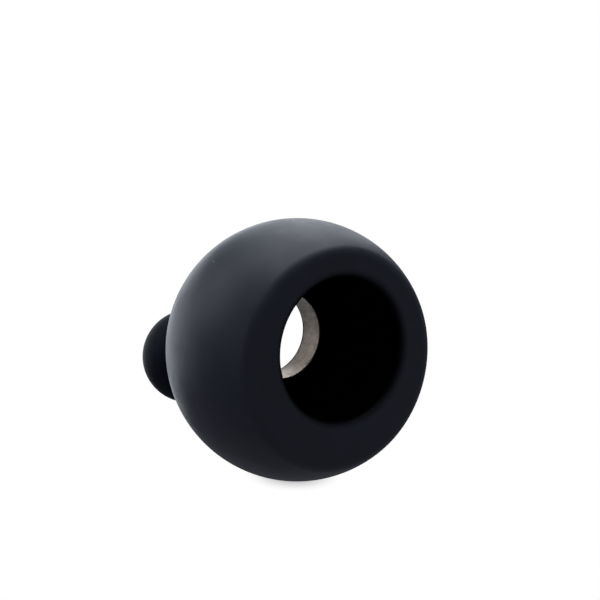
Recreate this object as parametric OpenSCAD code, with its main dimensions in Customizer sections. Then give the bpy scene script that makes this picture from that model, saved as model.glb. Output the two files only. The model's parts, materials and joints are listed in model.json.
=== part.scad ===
// Friction ball for opening screw-back watch cases, lying on its side.
// The origin is the centre of the ball. -Y faces out of the front opening and +Z is up.
// The bore axis runs along Y, a little above the centre of the ball.

/* [Ball] */
// Diameter of the rubber ball
ball_d = 60; // [50:1:74]
// Depth sliced off the front pole to make the friction face
front_cut = 10.7; // [9:0.1:12.5]
// Depth sliced off the back pole to make the rear face
rear_cut = 15.5; // [11:0.5:16]
// Rounding where either flat face meets the round of the ball
corner_r = 3; // [1.5:0.25:4]

/* [Recess] */
// Diameter of the front recess that takes the dome of the watch
recess_d = 30; // [23:0.2:34]
// Rounding of the lip of the recess
lip_r = 2; // [1:0.2:3]
// Height of the bore axis above the centre of the ball
bore_lift = 2.1; // [0:0.1:3.2]
// Thickness of the rubber web between the recess and the rear face
web_t = 8.7; // [7.8:0.1:12]

/* [Sight bush] */
// Bore of the metal bush through the web
sight_d = 21; // [16:0.2:25]
// Wall of the bush
bush_wall = 1.2; // [0.8:0.1:1.6]
// Height of the collar outside the bush that stops the core plate
collar_h = 1.6; // [0.8:0.1:1.8]
// Length of that collar
collar_l = 1.5; // [1:0.1:1.8]
// Chamfer on the front edge of the bush's bore
bush_chamfer = 0.4; // [0.2:0.05:0.6]
// How far the bush ends short of the recess floor and of the rear face
bush_inset = 0.5; // [0.1:0.05:0.6]

/* [Core plate] */
// Thickness of the steel plate moulded into the web
plate_t = 2; // [1.5:0.1:2.4]
// Rubber between the plate and the rear face
plate_cover = 3.5; // [3:0.1:4]
// Metal left outside the hole for the threaded insert
plate_rim = 2; // [1.5:0.1:2.6]

/* [Threaded insert] */
// Outside diameter of the insert
insert_d = 6.4; // [5.6:0.1:7.4]
// Metal left between the bush and the insert
insert_land = 1.6; // [0.8:0.1:1.6]
// Diameter of the insert's flange, which seats on the rear face
flange_d = 9.2; // [8:0.1:10.4]
// Thickness of that flange
flange_t = 1; // [0.8:0.1:1.6]
// Direction from the bore axis to the knob, seen from the front, in degrees from +X
knob_angle = 206.6; // [0:0.2:360]

/* [Shoulder screw] */
// Diameter of the screw's thread
thread_d = 4; // [3.3:0.1:4.8]
// Length of the thread
thread_l = 5.8; // [4.8:0.1:6.4]
// Diameter of the ground shoulder that the knob turns on
shoulder_d = 6; // [5:0.1:6.8]
// Diameter of the screw's head
head_d = 9.6; // [8.5:0.1:11]
// Thickness of the screw's head
head_t = 2.6; // [2.2:0.1:3.2]
// Size of the hexagon socket across its flats
socket_af = 3; // [2:0.1:4]
// Depth of the hexagon socket
socket_depth = 1.7; // [1.2:0.1:2]

/* [Knob] */
// Diameter of the round knob
knob_d = 24; // [21:0.2:30.4]
// Diameter of the knob's neck
neck_d = 13.6; // [12:0.2:15]
// Rounding of the neck's free edge
neck_round = 0.8; // [0.4:0.1:1.2]
// Wall of the bearing sleeve pressed into the knob
sleeve_wall = 1.5; // [1:0.1:1.8]
// Thickness of the thrust washer under the neck
base_washer_t = 0.8; // [0.5:0.1:1.2]
// Diameter of the thrust washer under the neck
base_washer_d = 11; // [9.5:0.1:12]
// Thickness of the washer under the screw's head
end_washer_t = 0.6; // [0.4:0.1:1]
// Thickness of the press-in end cap at its rim
cap_t = 2.2; // [1.6:0.1:3]

/* [Clearances] */
// Radial clearance of the sleeve on the shoulder
run_clear = 0.05; // [0.02:0.01:0.1]
// End play on each side of the knob
end_play = 0.1; // [0.05:0.05:0.2]
// Radial clearance of the screw's head and washers in the counterbore
head_clear = 0.6; // [0.4:0.1:1]

/* [Hidden] */
$fn = 96;
OVER = 1;   // how far a cut runs past the face it opens

// Stations along Y
ball_r = ball_d / 2;
front_y = front_cut - ball_r;
rear_y = ball_r - rear_cut;
floor_y = rear_y - web_t;
plate_y1 = rear_y - plate_cover;
plate_y0 = plate_y1 - plate_t;
bush_y0 = floor_y + bush_inset;
bush_y1 = rear_y - bush_inset;
seat_y = rear_y + flange_t;
washer_y1 = seat_y + base_washer_t;
knob_y0 = washer_y1 + end_play;

// Radii about the bore axis
recess_r = recess_d / 2;
sight_r = sight_d / 2;
bush_r = sight_r + bush_wall;
insert_r = insert_d / 2;
spindle_reach = bush_r + insert_land + insert_r;
plate_r = spindle_reach + insert_r + plate_rim;

// The knob, which stands on its neck
knob_r = knob_d / 2;
neck_r = neck_d / 2;
knob_mid_y = knob_y0 + knob_r;
knob_y1 = knob_mid_y + knob_r;
head_r = head_d / 2;
pocket_r = head_r + head_clear;
cap_y0 = knob_mid_y + sqrt(knob_r * knob_r - pocket_r * pocket_r) - cap_t;
head_y1 = cap_y0 - end_play * 3;
head_y0 = head_y1 - head_t;
pocket_y0 = head_y0 - end_washer_t - end_play;
shoulder_r = shoulder_d / 2;
sleeve_in_r = shoulder_r + run_clear;
sleeve_r = sleeve_in_r + sleeve_wall;
washer_in_r = shoulder_r + run_clear * 2;

// Turns what stands up along Z to run along Y
module along_y() {
    rotate([-90, 0, 0]) children();
}

// Centres a piece on the bore axis
module on_bore() {
    translate([0, 0, bore_lift]) children();
}

// Centres a piece on the knob's axis
module on_spindle() {
    on_bore()
        translate([spindle_reach * cos(knob_angle), 0, spindle_reach * sin(knob_angle)])
            children();
}

// A round bar along Y between two stations
module bar(r, y0, y1) {
    translate([0, y0, 0]) along_y() cylinder(r = r, h = y1 - y0);
}

// Half outline of the ball on one side of its middle, with the flat face at height h
module half_outline(h) {
    centre_h = h - corner_r;
    centre_x = sqrt(pow(ball_r - corner_r, 2) - pow(centre_h, 2));
    tangent_h = centre_h * ball_r / (ball_r - corner_r);
    intersection() {
        circle(r = ball_r);
        square([ball_r, tangent_h]);
    }
    square([centre_x, h]);
    translate([centre_x, centre_h]) circle(r = corner_r);
}

// The whole outline of the ball, as radius and station
module ball_outline() {
    intersection() {
        translate([0, front_y]) square([ball_r, rear_y - front_y]);
        union() {
            half_outline(rear_y);
            mirror([0, 1]) half_outline(-front_y);
        }
    }
}

// The recess, flared by the rounding of its lip
module recess_cut() {
    bar(recess_r, front_y - OVER, floor_y);
    along_y() rotate_extrude() difference() {
        translate([0, front_y - OVER]) square([recess_r + lip_r, lip_r + OVER]);
        translate([recess_r + lip_r, front_y + lip_r]) circle(r = lip_r);
        translate([recess_r, front_y + lip_r]) square([lip_r + OVER, lip_r]);
    }
}

module bush_outside() {
    on_bore() {
        bar(bush_r, bush_y0, bush_y1);
        bar(bush_r + collar_h, plate_y0 - collar_l, plate_y0);
    }
}

module plate_outside() {
    on_bore() bar(plate_r, plate_y0, plate_y1);
}

module insert_outside() {
    on_spindle() bar(insert_r, plate_y0, rear_y);
}

module friction_ball() {
    color("#25272b") difference() {
        along_y() rotate_extrude($fn = 180) ball_outline();
        on_bore() recess_cut();
        on_bore() bar(sight_r, floor_y - OVER, rear_y + OVER);
        bush_outside();
        plate_outside();
        insert_outside();
    }
}

module core_plate() {
    color("#8a8d90") difference() {
        plate_outside();
        on_bore() bar(bush_r, plate_y0 - OVER, plate_y1 + OVER);
        on_spindle() bar(insert_r, plate_y0 - OVER, plate_y1 + OVER);
    }
}

module sight_bush() {
    color("#8c8279") difference() {
        bush_outside();
        on_bore() bar(sight_r, floor_y - OVER, bush_y1 + OVER);
        on_bore() translate([0, bush_y0, 0]) along_y()
            cylinder(r1 = sight_r + bush_chamfer, r2 = sight_r, h = bush_chamfer);
    }
}

module spindle_insert() {
    color("#b08d4a") difference() {
        union() {
            insert_outside();
            on_spindle() bar(flange_d / 2, rear_y, seat_y);
        }
        on_spindle() bar(thread_d / 2, plate_y0 - OVER, seat_y + OVER);
    }
}

module shoulder_screw() {
    color("#a9acb0") on_spindle() difference() {
        union() {
            bar(thread_d / 2, seat_y - thread_l, seat_y);
            bar(shoulder_r, seat_y, head_y0);
            bar(head_r, head_y0, head_y1);
        }
        translate([0, head_y1 - socket_depth, 0]) along_y()
            cylinder(d = socket_af / cos(30), h = socket_depth + OVER, $fn = 6);
    }
}

// A flat washer on the knob's axis
module washer(r_out, y0, t) {
    on_spindle() difference() {
        bar(r_out, y0, y0 + t);
        bar(washer_in_r, y0 - OVER, y0 + t + OVER);
    }
}

module base_washer() {
    color("#e6e2d6") washer(base_washer_d / 2, seat_y, base_washer_t);
}

module end_washer() {
    color("#c4c6c8") washer(head_r, head_y0 - end_washer_t, end_washer_t);
}

// Outline of the knob, as radius and station: a round head on a short neck
module knob_outline() {
    intersection() {
        translate([0, knob_mid_y]) circle(r = knob_r);
        translate([0, knob_y0]) square([knob_r, knob_d]);
    }
    translate([0, knob_y0]) square([neck_r - neck_round, knob_r]);
    translate([0, knob_y0 + neck_round]) square([neck_r, knob_r / 2]);
    translate([neck_r - neck_round, knob_y0 + neck_round]) circle(r = neck_round);
}

module knob_body() {
    color("#15161a") on_spindle() difference() {
        along_y() rotate_extrude($fn = 128) knob_outline();
        bar(sleeve_r, knob_y0 - OVER, pocket_y0 + OVER);
        bar(pocket_r, pocket_y0, knob_y1 + OVER);
    }
}

module knob_sleeve() {
    color("#b5854b") on_spindle() difference() {
        bar(sleeve_r, knob_y0, pocket_y0);
        bar(sleeve_in_r, knob_y0 - OVER, pocket_y0 + OVER);
    }
}

// The cap's domed end carries on the round of the knob
module knob_cap() {
    color("#1b1c20") on_spindle() intersection() {
        bar(pocket_r, cap_y0, knob_y1 + OVER);
        translate([0, knob_mid_y, 0]) sphere(r = knob_r, $fn = 128);
    }
}

friction_ball();
core_plate();
sight_bush();
spindle_insert();
shoulder_screw();
base_washer();
end_washer();
knob_body();
knob_sleeve();
knob_cap();
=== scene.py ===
"""Looks for the case opening friction ball, laid out as an add-on and run as a script.

Lengths are in metres. The tool lies on its side: -Y faces out of the front recess and +Z is up.
"""
import json
import math

import bpy
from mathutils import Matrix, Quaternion, Vector


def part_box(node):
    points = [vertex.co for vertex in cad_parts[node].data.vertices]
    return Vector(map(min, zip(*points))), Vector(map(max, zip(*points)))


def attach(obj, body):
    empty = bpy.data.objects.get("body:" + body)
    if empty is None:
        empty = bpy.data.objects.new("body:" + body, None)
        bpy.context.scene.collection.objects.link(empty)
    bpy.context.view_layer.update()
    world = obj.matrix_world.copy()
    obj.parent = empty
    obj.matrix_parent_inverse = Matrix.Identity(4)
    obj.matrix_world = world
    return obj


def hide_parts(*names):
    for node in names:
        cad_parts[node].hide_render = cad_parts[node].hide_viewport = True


bl_info = {
    "name": "Friction Ball Builder",
    "version": (1, 0, 0),
    "blender": (4, 5, 0),
    "location": "View3D > Sidebar > Friction Ball",
    "description": "Builds the rubber ball, its sight bush, its turning knob and the studio round them",
    "category": "Add Mesh",
}

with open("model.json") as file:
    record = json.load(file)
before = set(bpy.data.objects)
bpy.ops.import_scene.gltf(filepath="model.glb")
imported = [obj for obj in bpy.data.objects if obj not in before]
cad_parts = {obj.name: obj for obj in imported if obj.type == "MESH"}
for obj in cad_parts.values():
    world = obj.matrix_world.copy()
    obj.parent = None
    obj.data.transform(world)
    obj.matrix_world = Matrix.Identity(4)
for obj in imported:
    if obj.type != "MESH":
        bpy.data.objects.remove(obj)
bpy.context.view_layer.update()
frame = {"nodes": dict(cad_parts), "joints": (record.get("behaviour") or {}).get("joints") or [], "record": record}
MM = 0.001
MOUNTS = {mount["name"]: mount for mount in frame["record"]["mounts"]}
BALL_LOW, BALL_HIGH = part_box("friction_ball")
BUSH_LOW, BUSH_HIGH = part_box("sight_bush")
PLATE_LOW, PLATE_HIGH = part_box("core_plate")
INSERT_LOW, INSERT_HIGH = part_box("spindle_insert")
WASHER_LOW, WASHER_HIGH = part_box("base_washer")
KNOB_LOW, KNOB_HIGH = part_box("knob_body")
SLEEVE_LOW, SLEEVE_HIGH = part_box("knob_sleeve")
CAP_LOW, CAP_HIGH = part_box("knob_cap")
BORE_AXIS = (0.0, MOUNTS["recess"]["pos_m"][2])
BALL_AXIS = (0.0, 0.0)
SPINDLE_AXIS = tuple(frame["joints"][0]["pos_m"][i] for i in (0, 2))
RECESS_R = MOUNTS["recess"]["dims"]["r_mm"] * MM
SIGHT_R = MOUNTS["sight_hole"]["dims"]["r_mm"] * MM
LAND = 0.4 * MM            # flat ring beside a rounding, from which a flat face is bridged
BROKEN_EDGE = 0.12 * MM    # chamfer that takes the sharpness off a turned edge
INSERT_CHAMFER = 0.2 * MM
RIM_IN, RIM_DOWN = 0.35, 0.25  # middle of the rounding at the cap's joint line, as shares of the rim
BALL_CUTS, KNOB_CUTS, SMALL_CUTS = 192, 144, 96
FLOOR_R = 4.0


# ---------------------------------------------------------------- sizes and colours a user may change


class FrictionBallSizes(bpy.types.PropertyGroup):
    """Sizes of the rubber ball and its bush that the frame does not give."""

    corner: bpy.props.FloatProperty(
        name="Corner rounding", description="Rounding where a flat face meets the round of the ball",
        default=3.0 * MM, min=1.0 * MM, max=5.0 * MM, unit="LENGTH")
    lip: bpy.props.FloatProperty(
        name="Lip rounding", description="Rounding of the lip of the front recess",
        default=2.0 * MM, min=0.5 * MM, max=4.0 * MM, unit="LENGTH")
    floor_corner: bpy.props.FloatProperty(
        name="Floor rounding", description="Rounding where the recess wall meets its floor",
        default=1.2 * MM, min=0.2 * MM, max=3.0 * MM, unit="LENGTH")
    rear_lip: bpy.props.FloatProperty(
        name="Rear lip rounding", description="Rounding of the rubber edge of the hole in the rear face",
        default=0.25 * MM, min=0.05 * MM, max=0.3 * MM, unit="LENGTH")
    bush_wall: bpy.props.FloatProperty(
        name="Bush wall", description="Wall of the metal sight bush",
        default=1.2 * MM, min=0.5 * MM, max=2.0 * MM, unit="LENGTH")
    collar_length: bpy.props.FloatProperty(
        name="Collar length", description="Length of the bush's collar in front of the core plate",
        default=1.5 * MM, min=0.5 * MM, max=2.0 * MM, unit="LENGTH")
    bush_chamfer: bpy.props.FloatProperty(
        name="Bush chamfer", description="Chamfer on the front edge of the bush's bore",
        default=0.4 * MM, min=0.1 * MM, max=0.8 * MM, unit="LENGTH")


class FrictionKnobSizes(bpy.types.PropertyGroup):
    """Sizes of the turning knob that the frame does not give."""

    neck: bpy.props.FloatProperty(
        name="Neck radius", description="Radius of the knob's neck",
        default=6.8 * MM, min=5.0 * MM, max=9.0 * MM, unit="LENGTH")
    neck_edge: bpy.props.FloatProperty(
        name="Neck edge", description="Rounding of the neck's free edge",
        default=0.8 * MM, min=0.2 * MM, max=1.5 * MM, unit="LENGTH")
    throat: bpy.props.FloatProperty(
        name="Throat", description="Hollow rounding between the neck and the round head",
        default=1.2 * MM, min=0.4 * MM, max=2.5 * MM, unit="LENGTH")
    plate_rim: bpy.props.FloatProperty(
        name="Plate rim", description="Metal of the core plate outside the insert's hole",
        default=2.0 * MM, min=1.0 * MM, max=3.0 * MM, unit="LENGTH")
    thread: bpy.props.FloatProperty(
        name="Thread", description="Radius of the thread in the insert",
        default=2.0 * MM, min=1.5 * MM, max=2.5 * MM, unit="LENGTH")
    washer_bore: bpy.props.FloatProperty(
        name="Washer bore", description="Radius of the hole in the thrust washer",
        default=3.1 * MM, min=2.5 * MM, max=3.5 * MM, unit="LENGTH")
    rim: bpy.props.FloatProperty(
        name="Rim", description="Small rounding on both sides of the joint line round the end cap",
        default=0.18 * MM, min=0.05 * MM, max=0.4 * MM, unit="LENGTH")


def colour_property(name, description, value):
    """An sRGB hex colour that a user may change."""
    return bpy.props.StringProperty(name=name, description=description, default=value, maxlen=7)


class FrictionBallColours(bpy.types.PropertyGroup):
    """Colours of the finishes, as sRGB hex values."""

    rubber: colour_property("Rubber", "Moulded black rubber", "#161a24")
    rubber_worn: colour_property("Handled rubber", "Rubber dulled by handling", "#1d212b")
    # Painted shade: the near black laid over the recess and its lip, where shade falls.
    recess_painted_shade: colour_property("Recess rubber", "Matt rubber inside the recess", "#020202")
    dust: colour_property("Dust", "Specks of dust on the rubber", "#a9adb5")
    bush: colour_property("Bush", "Turned steel of the sight bush", "#9c8d7e")
    bush_stain: colour_property("Bush stain", "Darker stains on the bush", "#625950")
    knob: colour_property("Knob", "Black moulded phenolic", "#080a10")
    brass: colour_property("Brass", "Threaded insert", "#b8934e")
    bronze: colour_property("Bronze", "Sintered bearing sleeve", "#8f6238")
    steel: colour_property("Steel", "Ground and turned steel", "#b9bcc0")
    plate: colour_property("Plate", "Blanked steel plate", "#7d8084")
    nylon: colour_property("Nylon", "Natural nylon washer", "#ddd8c8")
    floor: colour_property("Floor", "Pale studio floor", "#ffffff")
    backdrop: colour_property("Backdrop", "White room that the camera sees", "#ffffff")
    room_light: colour_property("Room light", "Light that the room gives the ball", "#e6ecff")
    lamp: colour_property("Lamps", "Cool white of the softboxes", "#f1f8ff")


class FrictionBallStudio(bpy.types.PropertyGroup):
    """Camera and lights."""

    azimuth: bpy.props.FloatProperty(
        name="Azimuth", description="Direction of the camera, from straight in front of the recess",
        default=math.radians(-31.97), subtype="ANGLE")
    elevation: bpy.props.FloatProperty(
        name="Elevation", description="Height of the camera above the level of the ball's centre",
        default=math.radians(8.04), subtype="ANGLE")
    distance: bpy.props.FloatProperty(
        name="Distance", description="From the ball's centre to the camera",
        default=150.0 * MM, min=80.0 * MM, unit="LENGTH")
    aim: bpy.props.FloatVectorProperty(
        name="Aim", description="Point that the camera looks at",
        default=(0.66 * MM, 0.5 * MM, 11.11 * MM), subtype="XYZ", unit="LENGTH")
    roll: bpy.props.FloatProperty(
        name="Roll", description="Turn of the camera about its own line of sight",
        default=math.radians(2.0), subtype="ANGLE")
    lens: bpy.props.FloatProperty(
        name="Lens", description="Focal length on a 36 mm sensor, in millimetres", default=38.53)
    top_power: bpy.props.FloatProperty(
        name="Top softbox", description="Power of the softbox straight overhead, in watts", default=2.09)
    high_back_power: bpy.props.FloatProperty(
        name="High back softbox", description="Power of the softbox high behind the ball, in watts",
        default=0.75)
    low_back_power: bpy.props.FloatProperty(
        name="Low back softbox", description="Power of the softbox low behind the ball, in watts",
        default=0.62)
    left_power: bpy.props.FloatProperty(
        name="Left softbox", description="Power of the softbox to the left of the ball, in watts",
        default=0.30)
    left_back_power: bpy.props.FloatProperty(
        name="Left back softbox", description="Power of the softbox behind the left side, in watts",
        default=1.70)
    left_front_power: bpy.props.FloatProperty(
        name="Left front softbox", description="Power of the softbox in front of the left side, in watts",
        default=0.096)
    left_high_power: bpy.props.FloatProperty(
        name="Left high softbox", description="Power of the softbox high on the left, in watts", default=0.47)
    ambient: bpy.props.FloatProperty(
        name="Ambient", description="Strength of the light from the room", default=0.240)
    contact: bpy.props.FloatProperty(
        name="Contact", description="Radius of the spot under the ball where the floor is darkest",
        default=1.0 * MM, unit="LENGTH")
    shadow_reach: bpy.props.FloatProperty(
        name="Shadow reach", description="Radius beyond which the floor takes no shadow",
        default=12.0 * MM, unit="LENGTH")
    contact_glow: bpy.props.FloatProperty(
        name="Contact glow", description="Share of the floor's own glow in the spot under the ball",
        default=0.30, subtype="FACTOR")


# ---------------------------------------------------------------- materials


def linear(hex_colour):
    """An sRGB hex colour as linear RGBA."""
    channels = [int(hex_colour[i:i + 2], 16) / 255 for i in (1, 3, 5)]
    return [c / 12.92 if c <= 0.04045 else ((c + 0.055) / 1.055) ** 2.4 for c in channels] + [1.0]


def add_node(tree, kind, inputs=None, **settings):
    """Adds a node, sets its settings, and sets or links each named input."""
    node = tree.nodes.new(kind)
    for key, value in settings.items():
        setattr(node, key, value)
    for key, value in (inputs or {}).items():
        if isinstance(value, bpy.types.NodeSocket):
            tree.links.new(value, node.inputs[key])
        else:
            node.inputs[key].default_value = value
    return node


def new_material(name):
    """An empty material with its shader and the object's own coordinates, all in metres."""
    material = bpy.data.materials.new(name)
    material.use_nodes = True
    tree = material.node_tree
    tree.nodes.clear()
    shader = add_node(tree, "ShaderNodeBsdfPrincipled")
    add_node(tree, "ShaderNodeOutputMaterial", {"Surface": shader.outputs["BSDF"]})
    place = add_node(tree, "ShaderNodeTexCoord").outputs["Object"]
    return material, tree, shader, place


def set_inputs(tree, shader, values):
    """Sets or links the shader's own sockets."""
    for key, value in values.items():
        if isinstance(value, bpy.types.NodeSocket):
            tree.links.new(value, shader.inputs[key])
        else:
            shader.inputs[key].default_value = value


def noise(tree, place, size, detail=3.0, roughness=0.5):
    """Cloudy noise whose features are about `size` metres across, from 0 to 1."""
    return add_node(tree, "ShaderNodeTexNoise", {
        "Vector": place, "Scale": 1.0 / size, "Detail": detail, "Roughness": roughness}).outputs["Fac"]


def spread(tree, value, low, high, out_low=0.0, out_high=1.0):
    """Maps a value from one range to another and holds it there."""
    return add_node(tree, "ShaderNodeMapRange", {
        "Value": value, "From Min": low, "From Max": high, "To Min": out_low, "To Max": out_high},
        interpolation_type="SMOOTHSTEP").outputs["Result"]


def blend_colours(tree, share, first, second):
    """A colour that goes from the first to the second as share goes from 0 to 1."""
    node = add_node(tree, "ShaderNodeMix", data_type="RGBA")
    # Its sockets share one name, so its colour inputs are told apart by number: 6 and 7, and output 2.
    for index, value in ((0, share), (6, first), (7, second)):
        if isinstance(value, bpy.types.NodeSocket):
            tree.links.new(value, node.inputs[index])
        else:
            node.inputs[index].default_value = value
    return node.outputs[2]


def radius_from(tree, place, axis):
    """Distance from an axis that runs along Y through the point axis = (x, z)."""
    centred = add_node(tree, "ShaderNodeMapping", {
        "Vector": place, "Location": (-axis[0], 0.0, -axis[1]), "Scale": (1.0, 0.0, 1.0)})
    return add_node(
        tree, "ShaderNodeVectorMath", {0: centred.outputs["Vector"]}, operation="LENGTH").outputs["Value"]


def station(tree, place):
    """How far along Y a point is."""
    return add_node(tree, "ShaderNodeSeparateXYZ", {"Vector": place}).outputs["Y"]


def math_node(tree, operation, first, second=0.0):
    """One step of arithmetic."""
    return add_node(tree, "ShaderNodeMath", {0: first, 1: second}, operation=operation).outputs["Value"]


def bump(tree, height, depth, under=None):
    """A bump of the given depth in metres, on top of another one if there is one."""
    inputs = {"Height": height, "Distance": depth, "Strength": 1.0}
    if under is not None:
        inputs["Normal"] = under
    return add_node(tree, "ShaderNodeBump", inputs).outputs["Normal"]


def moulded_nitrile_rubber(colours, lip):
    """Nitrile rubber, compression moulded in a bead-blasted tool: a soft satin black with a very fine even
    grain. Handling leaves faint dull clouds and dust clings to it. The recess carries painted shade: it is
    darkened to a matt near black without shine, which fades out across the lip."""
    material, tree, shader, place = new_material("moulded_nitrile_rubber")
    along = station(tree, place)
    # Mask of the painted shade in the recess: there the rubber is darkened to near black and loses its shine,
    # fading out across the lip.
    inside = math_node(
        tree, "MULTIPLY",
        spread(tree, radius_from(tree, place, BORE_AXIS), RECESS_R + lip, RECESS_R),
        spread(tree, along, BALL_HIGH.y - 0.05 * MM, BALL_HIGH.y - 0.2 * MM))
    outside = math_node(tree, "SUBTRACT", 1.0, inside)
    clouds = spread(tree, noise(tree, place, 9.0 * MM, 5.0, 0.55), 0.35, 0.7)
    # Blasted grain is about 0.05 mm; it is drawn at 0.3 mm so that it shows.
    grain = noise(tree, place, 0.3 * MM, 3.0, 0.6)
    # Specks of dust, about 0.15 mm across and some 5 mm apart.
    cells = add_node(tree, "ShaderNodeTexVoronoi", {
        "Vector": place, "Scale": 1.0 / (5.0 * MM), "Randomness": 1.0}, feature="F1").outputs["Distance"]
    specks = spread(tree, cells, 0.036, 0.02)
    lint = math_node(tree, "MULTIPLY", specks, spread(tree, noise(tree, place, 7.0 * MM), 0.5, 0.62))
    colour = blend_colours(tree, clouds, linear(colours.rubber), linear(colours.rubber_worn))
    mottle = spread(tree, grain, 0.3, 0.7, 0.0, 0.35)
    colour = blend_colours(tree, mottle, colour, linear(colours.rubber_worn))
    # Paints the recess's shade into the colour.
    colour = blend_colours(tree, inside, colour, linear(colours.recess_painted_shade))
    colour = blend_colours(tree, math_node(tree, "MULTIPLY", lint, outside), colour, linear(colours.dust))
    finish = math_node(
        tree, "ADD", spread(tree, clouds, 0.0, 1.0, 0.43, 0.5), spread(tree, grain, 0.3, 0.7, 0.0, 0.06))
    swell = bump(tree, noise(tree, place, 6.0 * MM, 2.0), 0.02 * MM)
    set_inputs(tree, shader, {
        "Base Color": colour, "Roughness": finish, "IOR": 1.5,
        "Specular IOR Level": math_node(tree, "MULTIPLY", outside, 0.38),
        "Normal": bump(tree, grain, 0.014 * MM, swell)})
    return material


def turned_dull_steel(colours):
    """Free-cutting steel, bored on a lathe and left dull: warm grey, with fine tool rings round the bore,
    darker stains from the moulding, small pits, and a darkening that grows towards the rear."""
    material, tree, shader, place = new_material("turned_dull_steel")
    along = station(tree, place)
    # The boring tool's feed is about 0.1 mm a turn; it is drawn at 0.35 mm so that it shows.
    rings = math_node(tree, "SINE", math_node(tree, "MULTIPLY", along, 2 * math.pi / (0.35 * MM)))
    stains = spread(tree, noise(tree, place, 1.6 * MM, 5.0, 0.6), 0.42, 0.75, 0.0, 0.55)
    pits = spread(tree, noise(tree, place, 0.45 * MM, 3.0), 0.62, 0.74, 0.0, 0.7)
    colour = blend_colours(tree, stains, linear(colours.bush), linear(colours.bush_stain))
    colour = blend_colours(tree, pits, colour, linear(colours.bush_stain))
    # The bush grows darker towards its rear, blending towards the stain colour.
    rearward = spread(tree, along, BUSH_LOW.y + 1.5 * MM, BUSH_HIGH.y, 0.0, 0.7)
    colour = blend_colours(tree, rearward, colour, linear(colours.bush_stain))
    roughness = spread(tree, noise(tree, place, 1.4 * MM, 3.0), 0.3, 0.7, 0.45, 0.6)
    rough = bump(tree, pits, 0.012 * MM)
    set_inputs(tree, shader, {
        "Base Color": colour, "Metallic": 0.8, "Roughness": roughness,
        "Normal": bump(tree, rings, 0.004 * MM, rough)})
    return material


def moulded_phenolic(colours):
    """Black phenolic, compression moulded and tumbled dull: near black and matt, with faint flow clouds."""
    material, tree, shader, place = new_material("moulded_phenolic")
    clouds = noise(tree, place, 5.0 * MM, 3.0)
    grain = noise(tree, place, 0.3 * MM, 2.0)
    colour = blend_colours(
        tree, spread(tree, clouds, 0.3, 0.75), linear(colours.knob), linear(colours.rubber))
    set_inputs(tree, shader, {
        "Base Color": colour, "Roughness": spread(tree, clouds, 0.3, 0.7, 0.55, 0.62),
        "IOR": 1.5, "Specular IOR Level": 0.05, "Normal": bump(tree, grain, 0.008 * MM)})
    return material


def turned_metal(name, hex_colour, axis, feed, roughness):
    """A bare metal turned about one axis: rings on its faces from the tool, and faint tarnish clouds."""
    material, tree, shader, place = new_material(name)
    across = math_node(tree, "ADD", radius_from(tree, place, axis), station(tree, place))
    rings = math_node(tree, "SINE", math_node(tree, "MULTIPLY", across, 2 * math.pi / feed))
    tarnish = noise(tree, place, 1.5 * MM, 4.0)
    dull = [channel * 0.7 for channel in linear(hex_colour)[:3]] + [1.0]
    set_inputs(tree, shader, {
        "Base Color": blend_colours(tree, spread(tree, tarnish, 0.4, 0.75), linear(hex_colour), dull),
        "Metallic": 1.0,
        "Roughness": spread(tree, tarnish, 0.3, 0.7, roughness, roughness + 0.12),
        "Normal": bump(tree, rings, 0.003 * MM)})
    return material


def natural_nylon(colours):
    """Nylon, stamped from sheet: milky off-white with a soft waxy gloss."""
    material, tree, shader, place = new_material("natural_nylon")
    clouds = noise(tree, place, 2.0 * MM, 2.0)
    deeper = [channel * 0.85 for channel in linear(colours.nylon)[:3]] + [1.0]
    set_inputs(tree, shader, {
        "Base Color": blend_colours(tree, clouds, linear(colours.nylon), deeper),
        "Roughness": spread(tree, clouds, 0.3, 0.7, 0.34, 0.44), "IOR": 1.53})
    return material


def blanked_steel(colours):
    """Mild steel sheet, blanked: a mill finish with a faint grain along X."""
    material, tree, shader, place = new_material("blanked_steel")
    stretched = add_node(tree, "ShaderNodeMapping", {"Vector": place, "Scale": (0.1, 1.0, 1.0)})
    grain = noise(tree, stretched.outputs["Vector"], 0.2 * MM, 3.0)
    set_inputs(tree, shader, {
        "Base Color": linear(colours.plate), "Metallic": 1.0,
        "Roughness": spread(tree, grain, 0.3, 0.7, 0.35, 0.5),
        "Normal": bump(tree, grain, 0.003 * MM)})
    return material


# ---------------------------------------------------------------- modelling helpers


def fresh_edit(piece):
    """Enters edit mode on one object with all of it selected."""
    bpy.ops.object.select_all(action="DESELECT")
    piece.select_set(True)
    bpy.context.view_layer.objects.active = piece
    bpy.ops.object.mode_set(mode="EDIT")
    bpy.ops.mesh.select_mode(type="VERT")
    bpy.ops.mesh.select_all(action="SELECT")


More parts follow.
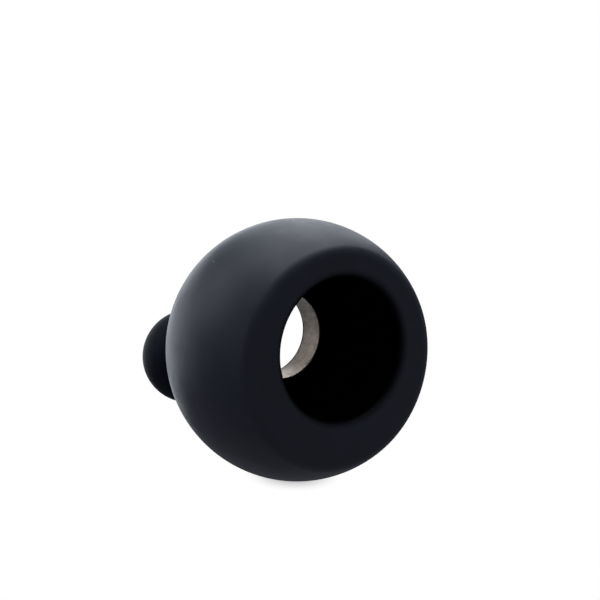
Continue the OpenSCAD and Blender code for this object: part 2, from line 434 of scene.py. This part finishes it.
def draw_outline(name, axis, start, moves):
    """Draws half a section beside an axis that runs along Y, by extruding one vertex.

    Points are (radius, station). A move is a point to go to in a straight line, or
    (centre, degrees, cuts), an arc about that centre."""
    bpy.ops.object.select_all(action="DESELECT")
    bpy.ops.mesh.primitive_plane_add(size=1.0 * MM, location=(0.0, 0.0, 0.0))
    piece = bpy.context.object
    piece.name = name
    piece.data.name = name
    fresh_edit(piece)
    bpy.ops.mesh.merge(type="CENTER")
    bpy.ops.transform.translate(value=(axis[0] + start[0], start[1], axis[1]))
    here = Vector(start)
    for move in moves:
        if len(move) == 2:
            step = Vector(move) - here
            bpy.ops.mesh.extrude_region_move(TRANSFORM_OT_translate={"value": (step.x, step.y, 0.0)})
            here = Vector(move)
            continue
        centre, degrees, cuts = move
        # With no window spin turns clockwise about +Z for a positive angle.
        bpy.ops.mesh.spin(
            steps=cuts, angle=math.radians(-degrees),
            center=(axis[0] + centre[0], centre[1], axis[1]), axis=(0.0, 0.0, 1.0))
        turned = here - Vector(centre)
        cos, sin = math.cos(math.radians(degrees)), math.sin(math.radians(degrees))
        here = Vector(centre) + Vector((turned.x * cos - turned.y * sin, turned.x * sin + turned.y * cos))
    bpy.ops.object.mode_set(mode="OBJECT")
    return piece


def turn_round(piece, axis, cuts):
    """Spins an outline a full turn about its axis and closes the seam and any pole."""
    fresh_edit(piece)
    bpy.ops.mesh.spin(
        steps=cuts, angle=2 * math.pi, center=(axis[0], 0.0, axis[1]), axis=(0.0, 1.0, 0.0))
    bpy.ops.mesh.select_all(action="SELECT")
    bpy.ops.mesh.remove_doubles(threshold=0.002 * MM)
    bpy.ops.mesh.normals_make_consistent(inside=False)
    bpy.ops.object.mode_set(mode="OBJECT")
    return piece


def smooth(piece, degrees=30.0):
    """Shades an object smooth, but for edges sharper than the angle."""
    bpy.ops.object.select_all(action="DESELECT")
    piece.select_set(True)
    bpy.context.view_layer.objects.active = piece
    bpy.ops.object.shade_smooth_by_angle(angle=math.radians(degrees))


def bridge_level(piece, level):
    """Joins the two open loops of edges that lie at one station along Y with a flat ring of faces."""
    fresh_edit(piece)
    bpy.ops.mesh.select_mode(type="EDGE")
    bpy.ops.mesh.select_all(action="DESELECT")
    bpy.ops.mesh.select_non_manifold(
        extend=False, use_wire=False, use_boundary=True, use_multi_face=False, use_non_contiguous=False,
        use_verts=False)
    bpy.ops.object.mode_set(mode="OBJECT")
    points = piece.data.vertices
    for edge in piece.data.edges:
        edge.select = edge.select and all(abs(points[i].co.y - level) < 0.001 * MM for i in edge.vertices)
    bpy.ops.object.mode_set(mode="EDIT")
    bpy.ops.mesh.bridge_edge_loops(number_cuts=0)
    bpy.ops.object.mode_set(mode="OBJECT")


def cut_hole(piece, axis, radius, low, high):
    """Cuts a round hole along Y between two stations."""
    bpy.ops.object.select_all(action="DESELECT")
    bpy.ops.mesh.primitive_cylinder_add(
        vertices=64, radius=radius, depth=high - low, rotation=(math.pi / 2, 0.0, 0.0),
        location=(axis[0], (low + high) / 2, axis[1]))
    drill = bpy.context.object
    bpy.ops.object.select_all(action="DESELECT")
    piece.select_set(True)
    bpy.context.view_layer.objects.active = piece
    cut = piece.modifiers.new("hole", "BOOLEAN")
    cut.operation = "DIFFERENCE"
    cut.solver = "EXACT"
    cut.object = drill
    bpy.ops.object.modifier_apply(modifier=cut.name)
    bpy.data.objects.remove(drill)


def dress(piece, material, body, slot, *stands_for):
    """Gives a new piece its finish and its body, and hides the CAD nodes that it stands for. The slot is not used.
    """
    piece.data.materials.clear()
    piece.data.materials.append(material)
    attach(piece, body)
    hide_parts(*stands_for)


def dress_node(node, material):
    """Gives a CAD node a better material."""
    mesh = frame["nodes"][node].data
    mesh.materials.clear()
    mesh.materials.append(material)


def tangent_degrees(small, station_offset, ball_r):
    """Angle above the equator at which a corner of radius `small` runs into the ball's round."""
    return math.degrees(math.asin(station_offset / (ball_r - small)))


def barrel_radius(context):
    """Radius of the insert's barrel, which the core plate carries inside its rim."""
    rim = context.scene.friction_knob_sizes.plate_rim
    return PLATE_HIGH.x - BORE_AXIS[0] - rim - math.dist(SPINDLE_AXIS, BORE_AXIS)


# ---------------------------------------------------------------- the pieces


class MESH_OT_friction_ball_rubber(bpy.types.Operator):
    """Turn the rubber ball with its two flat faces, its recess and the hollows moulded round the metal"""

    bl_idname = "mesh.friction_ball_rubber"
    bl_label = "Rubber Ball"

    def execute(self, context):
        sizes = context.scene.friction_ball_sizes
        ball_r = (BALL_HIGH.x - BALL_LOW.x) / 2
        front, rear = BALL_LOW.y, BALL_HIGH.y
        corner = sizes.corner
        low_mid, high_mid = front + corner, rear - corner
        low_angle = tangent_degrees(corner, low_mid, ball_r)
        high_angle = tangent_degrees(corner, high_mid, ball_r)
        low_x = math.sqrt((ball_r - corner) ** 2 - low_mid ** 2)
        high_x = math.sqrt((ball_r - corner) ** 2 - high_mid ** 2)
        outside = draw_outline("ball_rubber", BALL_AXIS, (low_x - LAND, front), [
            (low_x, front),
            ((low_x, low_mid), 90 + low_angle, 14),
            ((0.0, 0.0), high_angle - low_angle, 72),
            ((high_x, high_mid), 90 - high_angle, 14),
            (high_x - LAND, rear),
        ])
        turn_round(outside, BALL_AXIS, BALL_CUTS)
        inside = draw_outline("ball_inside", BORE_AXIS, (RECESS_R + sizes.lip + LAND, front),
                              self.inner(sizes, rear))
        turn_round(inside, BORE_AXIS, BALL_CUTS)
        bpy.ops.object.select_all(action="DESELECT")
        inside.select_set(True)
        outside.select_set(True)
        context.view_layer.objects.active = outside
        bpy.ops.object.join()
        bridge_level(outside, front)
        bridge_level(outside, rear)
        fresh_edit(outside)
        bpy.ops.mesh.normals_make_consistent(inside=False)
        bpy.ops.object.mode_set(mode="OBJECT")
        # The drill starts inside the hollow for the plate and runs out past the rear face.
        drill_low, drill_high = PLATE_LOW.y + 0.2 * MM, rear + 1.0 * MM
        cut_hole(outside, SPINDLE_AXIS, barrel_radius(context), drill_low, drill_high)
        smooth(outside)
        rubber = moulded_nitrile_rubber(context.scene.friction_ball_colours, sizes.lip)
        dress(outside, rubber, "ball", "black_rubber", "friction_ball")
        return {"FINISHED"}

    def inner(self, sizes, rear):
        """From the lip down the recess, round the bush, its collar and the plate, and out at the back."""
        lip, foot = sizes.lip, sizes.floor_corner
        inset = BALL_HIGH.y - BUSH_HIGH.y
        floor, front = BUSH_LOW.y - inset, BALL_LOW.y
        bush_r = SIGHT_R + sizes.bush_wall
        collar_r = BUSH_HIGH.x - BORE_AXIS[0]
        plate_r = PLATE_HIGH.x - BORE_AXIS[0]
        collar_y = PLATE_LOW.y - sizes.collar_length
        small = sizes.rear_lip
        wall_ring = 4.0 * MM  # stops the lip's shading from running on down the wall
        return [
            (RECESS_R + lip, front),
            ((RECESS_R + lip, front + lip), -90, 10),
            (RECESS_R, front + lip + wall_ring),
            (RECESS_R, floor - foot),
            ((RECESS_R - foot, floor - foot), 90, 6),
            (SIGHT_R, floor),
            (SIGHT_R, BUSH_LOW.y),
            (bush_r, BUSH_LOW.y),
            (bush_r, collar_y),
            (collar_r, collar_y),
            (collar_r, PLATE_LOW.y),
            (plate_r, PLATE_LOW.y),
            (plate_r, PLATE_HIGH.y),
            (bush_r, PLATE_HIGH.y),
            (bush_r, BUSH_HIGH.y),
            (SIGHT_R, BUSH_HIGH.y),
            (SIGHT_R, rear - small),
            ((SIGHT_R + small, rear - small), -90, 4),
            (SIGHT_R + small + LAND, rear),
        ]


class MESH_OT_friction_ball_bush(bpy.types.Operator):
    """Turn the sight bush with its chamfered bore and the collar that stops the core plate"""

    bl_idname = "mesh.friction_ball_bush"
    bl_label = "Sight Bush"

    def execute(self, context):
        sizes = context.scene.friction_ball_sizes
        bush_r = SIGHT_R + sizes.bush_wall
        collar_r = BUSH_HIGH.x - BORE_AXIS[0]
        low, high = BUSH_LOW.y, BUSH_HIGH.y
        collar_y = PLATE_LOW.y - sizes.collar_length
        chamfer, edge = sizes.bush_chamfer, BROKEN_EDGE
        bush = draw_outline("bush_turned", BORE_AXIS, (SIGHT_R + chamfer, low), [
            (bush_r - edge, low),
            (bush_r, low + edge),
            (bush_r, collar_y),
            (collar_r - edge, collar_y),
            (collar_r, collar_y + edge),
            (collar_r, PLATE_LOW.y),
            (bush_r, PLATE_LOW.y),
            (bush_r, high - edge),
            (bush_r - edge, high),
            (SIGHT_R + edge, high),
            (SIGHT_R, high - edge),
            (SIGHT_R, (low + high) / 2),
            (SIGHT_R, low + chamfer),
            (SIGHT_R + chamfer, low),
        ])
        turn_round(bush, BORE_AXIS, BALL_CUTS)
        smooth(bush)
        dress(bush, turned_dull_steel(context.scene.friction_ball_colours), "ball", "turned_steel",
              "sight_bush")
        return {"FINISHED"}


class MESH_OT_friction_ball_knob(bpy.types.Operator):
    """Turn the round knob with its neck, its bore and the pocket for the screw's head"""

    bl_idname = "mesh.friction_ball_knob"
    bl_label = "Turning Knob"

    def execute(self, context):
        sizes = context.scene.friction_knob_sizes
        low = KNOB_LOW.y
        knob_r = (KNOB_HIGH.x - KNOB_LOW.x) / 2
        middle = low + knob_r
        pocket_r = (CAP_HIGH.x - CAP_LOW.x) / 2
        sleeve_r = (SLEEVE_HIGH.x - SLEEVE_LOW.x) / 2
        neck, edge, throat, rim = sizes.neck, sizes.neck_edge, sizes.throat, sizes.rim
        throat_drop = math.sqrt((knob_r + throat) ** 2 - (neck + throat) ** 2)
        throat_angle = math.degrees(math.atan2(throat_drop, neck + throat))
        rim_angle = math.degrees(math.acos((pocket_r + rim) / knob_r))
        rim_y = middle + math.sqrt(knob_r ** 2 - (pocket_r + rim) ** 2)
        knob = draw_outline("knob_round", SPINDLE_AXIS, (sleeve_r, low), [
            (neck - edge, low),
            ((neck - edge, low + edge), 90, 6),
            (neck, middle - throat_drop),
            ((neck + throat, middle - throat_drop), throat_angle - 180 + 2 * (90 - throat_angle), 6),
            ((0.0, middle), throat_angle + rim_angle, 48),
            (pocket_r + rim * RIM_IN, rim_y - rim * RIM_DOWN),
            (pocket_r, rim_y - rim),
            (pocket_r, SLEEVE_HIGH.y),
            (sleeve_r, SLEEVE_HIGH.y),
            (sleeve_r, low),
        ])
        turn_round(knob, SPINDLE_AXIS, KNOB_CUTS)
        smooth(knob)
        dress(knob, moulded_phenolic(context.scene.friction_ball_colours), "knob", "black_knob", "knob_body")
        return {"FINISHED"}


class MESH_OT_friction_ball_cap(bpy.types.Operator):
    """Turn the domed end cap that carries on the round of the knob"""

    bl_idname = "mesh.friction_ball_cap"
    bl_label = "Knob Cap"

    def execute(self, context):
        rim = context.scene.friction_knob_sizes.rim
        knob_r = (KNOB_HIGH.x - KNOB_LOW.x) / 2
        middle = KNOB_LOW.y + knob_r
        cap_r = (CAP_HIGH.x - CAP_LOW.x) / 2
        rim_angle = math.degrees(math.acos((cap_r - rim) / knob_r))
        rim_y = middle + knob_r * math.sin(math.radians(rim_angle))
        cap = draw_outline("knob_end_cap", SPINDLE_AXIS, (0.0, CAP_LOW.y), [
            (cap_r - rim, CAP_LOW.y),
            (cap_r, CAP_LOW.y + rim),
            (cap_r, rim_y - rim),
            (cap_r - rim * RIM_IN, rim_y - rim * RIM_DOWN),
            (cap_r - rim, rim_y),
            ((0.0, middle), 90 - rim_angle, 14),
        ])
        turn_round(cap, SPINDLE_AXIS, SMALL_CUTS)
        smooth(cap)
        dress(cap, moulded_phenolic(context.scene.friction_ball_colours), "knob", "black_knob", "knob_cap")
        return {"FINISHED"}


class MESH_OT_friction_ball_spindle(bpy.types.Operator):
    """Turn the insert's flange and the washers, and finish the hidden screw, sleeve and plate"""

    bl_idname = "mesh.friction_ball_spindle"
    bl_label = "Spindle Parts"

    def execute(self, context):
        colours = context.scene.friction_ball_colours
        brass = turned_metal("turned_brass", colours.brass, SPINDLE_AXIS, 0.2 * MM, 0.28)
        steel = turned_metal("turned_steel", colours.steel, SPINDLE_AXIS, 0.2 * MM, 0.24)
        bronze = turned_metal("sintered_bronze", colours.bronze, SPINDLE_AXIS, 0.25 * MM, 0.5)
        nylon = natural_nylon(colours)
        rear = BALL_HIGH.y
        chamfer = INSERT_CHAMFER
        bore = context.scene.friction_knob_sizes.thread
        barrel = barrel_radius(context)
        flange = (INSERT_HIGH.x - INSERT_LOW.x) / 2
        insert = draw_outline("insert_flanged", SPINDLE_AXIS, (bore, INSERT_LOW.y), [
            (barrel - chamfer, INSERT_LOW.y),
            (barrel, INSERT_LOW.y + chamfer),
            (barrel, rear),
            (flange, rear),
            (flange, INSERT_HIGH.y - chamfer),
            (flange - chamfer, INSERT_HIGH.y),
            (bore, INSERT_HIGH.y),
            (bore, INSERT_LOW.y),
        ])
        turn_round(insert, SPINDLE_AXIS, SMALL_CUTS)
        smooth(insert)
        dress(insert, brass, "ball", "brass", "spindle_insert")
        outer = (WASHER_HIGH.x - WASHER_LOW.x) / 2
        inner = context.scene.friction_knob_sizes.washer_bore
        edge = BROKEN_EDGE
        washer = draw_outline("washer_thrust", SPINDLE_AXIS, (inner, WASHER_LOW.y), [
            (outer - edge, WASHER_LOW.y),
            (outer, WASHER_LOW.y + edge),
            (outer, WASHER_HIGH.y - edge),
            (outer - edge, WASHER_HIGH.y),
            (inner, WASHER_HIGH.y),
            (inner, WASHER_LOW.y),
        ])
        turn_round(washer, SPINDLE_AXIS, SMALL_CUTS)
        smooth(washer)
        dress(washer, nylon, "ball", "white_nylon", "base_washer")
        dress_node("shoulder_screw", steel)
        dress_node("end_washer", steel)
        dress_node("knob_sleeve", bronze)
        dress_node("core_plate", blanked_steel(colours))
        return {"FINISHED"}


class SCENE_OT_friction_ball_studio(bpy.types.Operator):
    """Set the pale floor, the soft lights and the camera"""

    bl_idname = "scene.friction_ball_studio"
    bl_label = "Studio"

    def execute(self, context):
        studio = context.scene.friction_ball_studio
        context.scene.view_settings.view_transform = "Standard"
        self.floor(context, studio)
        self.room(context, studio.ambient)
        for name, place, size, power in (
            ("top_softbox", (0.00, 0.04, 0.50), 0.50, studio.top_power),
            ("high_back_softbox", (0.21, 0.30, 0.34), 0.40, studio.high_back_power),
            ("low_back_softbox", (0.27, 0.49, 0.22), 0.50, studio.low_back_power),
            ("left_softbox", (-0.24, 0.39, -0.01), 0.25, studio.left_power),
            ("left_back_softbox", (0.08, 0.59, -0.02), 0.50, studio.left_back_power),
            ("left_front_softbox", (-0.48, -0.07, 0.10), 0.30, studio.left_front_power),
            ("left_high_softbox", (-0.34, 0.23, 0.26), 0.30, studio.left_high_power),
        ):
            self.softbox(context, name, place, size, power)
        self.camera(context, studio)
        return {"FINISHED"}

    def floor(self, context, studio):
        """White paper that takes the ball's shadow only close under it and glows white beyond."""
        bpy.ops.object.select_all(action="DESELECT")
        bpy.ops.mesh.primitive_circle_add(
            vertices=96, radius=FLOOR_R, fill_type="NGON", location=(0.0, 0.0, BALL_LOW.z))
        floor = context.object
        floor.name = "floor"
        material = bpy.data.materials.new("pale_paper_floor")
        material.use_nodes = True
        tree = material.node_tree
        tree.nodes.clear()
        white = linear(context.scene.friction_ball_colours.floor)
        paper = add_node(tree, "ShaderNodeBsdfDiffuse", {"Color": white})
        glow = add_node(tree, "ShaderNodeEmission", {"Color": white, "Strength": 1.0})
        place = add_node(tree, "ShaderNodeTexCoord").outputs["Object"]
        away = add_node(tree, "ShaderNodeVectorMath", {0: place}, operation="LENGTH").outputs["Value"]
        share = spread(tree, away, studio.contact, studio.shadow_reach, studio.contact_glow, 1.0)
        surface = add_node(tree, "ShaderNodeMixShader", {
            0: share, 1: paper.outputs["BSDF"], 2: glow.outputs["Emission"]})
        add_node(tree, "ShaderNodeOutputMaterial", {"Surface": surface.outputs["Shader"]})
        floor.data.materials.append(material)
        floor.visible_glossy = False
        floor.visible_diffuse = False

    def room(self, context, strength):
        """A room that the camera sees as white and that lights the ball softly."""
        colours = context.scene.friction_ball_colours
        world = bpy.data.worlds.new("room")
        world.use_nodes = True
        context.scene.world = world
        tree = world.node_tree
        tree.nodes.clear()
        seen = add_node(tree, "ShaderNodeBackground", {
            "Color": linear(colours.backdrop), "Strength": 1.0})
        felt = add_node(tree, "ShaderNodeBackground", {
            "Color": linear(colours.room_light), "Strength": strength})
        ray = add_node(tree, "ShaderNodeLightPath").outputs["Is Camera Ray"]
        both = add_node(tree, "ShaderNodeMixShader", {
            0: ray, 1: felt.outputs["Background"], 2: seen.outputs["Background"]})
        add_node(tree, "ShaderNodeOutputWorld", {"Surface": both.outputs["Shader"]})

    def softbox(self, context, name, place, size, power):
        """A square area light that faces the ball."""
        bpy.ops.object.light_add(
            type="AREA", location=place, rotation=(-Vector(place)).to_track_quat("-Z", "Y").to_euler())
        light = context.object
        light.name = name
        light.data.shape = "SQUARE"
        light.data.size = size
        light.data.energy = power
        light.data.color = linear(context.scene.friction_ball_colours.lamp)[:3]
        light.visible_camera = False

    def camera(self, context, studio):
        """The camera, turned about its line of sight by the roll."""
        back = Vector((
            math.sin(studio.azimuth) * math.cos(studio.elevation),
            -math.cos(studio.azimuth) * math.cos(studio.elevation),
            math.sin(studio.elevation)))
        place = back * studio.distance
        turn = (Vector(studio.aim) - place).to_track_quat("-Z", "Y") @ Quaternion((0, 0, 1), studio.roll)
        bpy.ops.object.camera_add(location=place, rotation=turn.to_euler())
        camera = context.object
        camera.name = "camera"
        camera.data.lens = studio.lens
        camera.data.clip_start = 1.0 * MM
        camera.data.clip_end = 20.0
        context.scene.camera = camera


class VIEW3D_PT_friction_ball(bpy.types.Panel):
    """The builder's panel in the 3D view's sidebar"""

    bl_label = "Friction Ball"
    bl_idname = "VIEW3D_PT_friction_ball"
    bl_space_type = "VIEW_3D"
    bl_region_type = "UI"
    bl_category = "Friction Ball"

    def draw(self, context):
        scene = context.scene
        for operator in OPERATORS:
            self.layout.operator(operator.bl_idname)
        for title, group in (
            ("Ball", scene.friction_ball_sizes), ("Knob", scene.friction_knob_sizes),
            ("Colours", scene.friction_ball_colours), ("Studio", scene.friction_ball_studio),
        ):
            box = self.layout.box()
            box.label(text=title)
            for name in group.__annotations__:
                box.prop(group, name)


# ---------------------------------------------------------------- registration and run

OPERATORS = (
    MESH_OT_friction_ball_rubber,
    MESH_OT_friction_ball_bush,
    MESH_OT_friction_ball_knob,
    MESH_OT_friction_ball_cap,
    MESH_OT_friction_ball_spindle,
    SCENE_OT_friction_ball_studio,
)
GROUPS = {
    "friction_ball_sizes": FrictionBallSizes,
    "friction_knob_sizes": FrictionKnobSizes,
    "friction_ball_colours": FrictionBallColours,
    "friction_ball_studio": FrictionBallStudio,
}


def register():
    """Makes the property groups, the operators and the panel known to Blender."""
    for name, group in GROUPS.items():
        bpy.utils.register_class(group)
        setattr(bpy.types.Scene, name, bpy.props.PointerProperty(type=group))
    for cls in OPERATORS + (VIEW3D_PT_friction_ball,):
        bpy.utils.register_class(cls)


def unregister():
    """Takes them away again, last first."""
    for cls in reversed(OPERATORS + (VIEW3D_PT_friction_ball,)):
        bpy.utils.unregister_class(cls)
    for name, group in GROUPS.items():
        delattr(bpy.types.Scene, name)
        bpy.utils.unregister_class(group)


def main():
    register()
    bpy.ops.mesh.friction_ball_rubber()
    bpy.ops.mesh.friction_ball_bush()
    bpy.ops.mesh.friction_ball_knob()
    bpy.ops.mesh.friction_ball_cap()
    bpy.ops.mesh.friction_ball_spindle()
    bpy.ops.scene.friction_ball_studio()


if __name__ == "__main__":
    main()
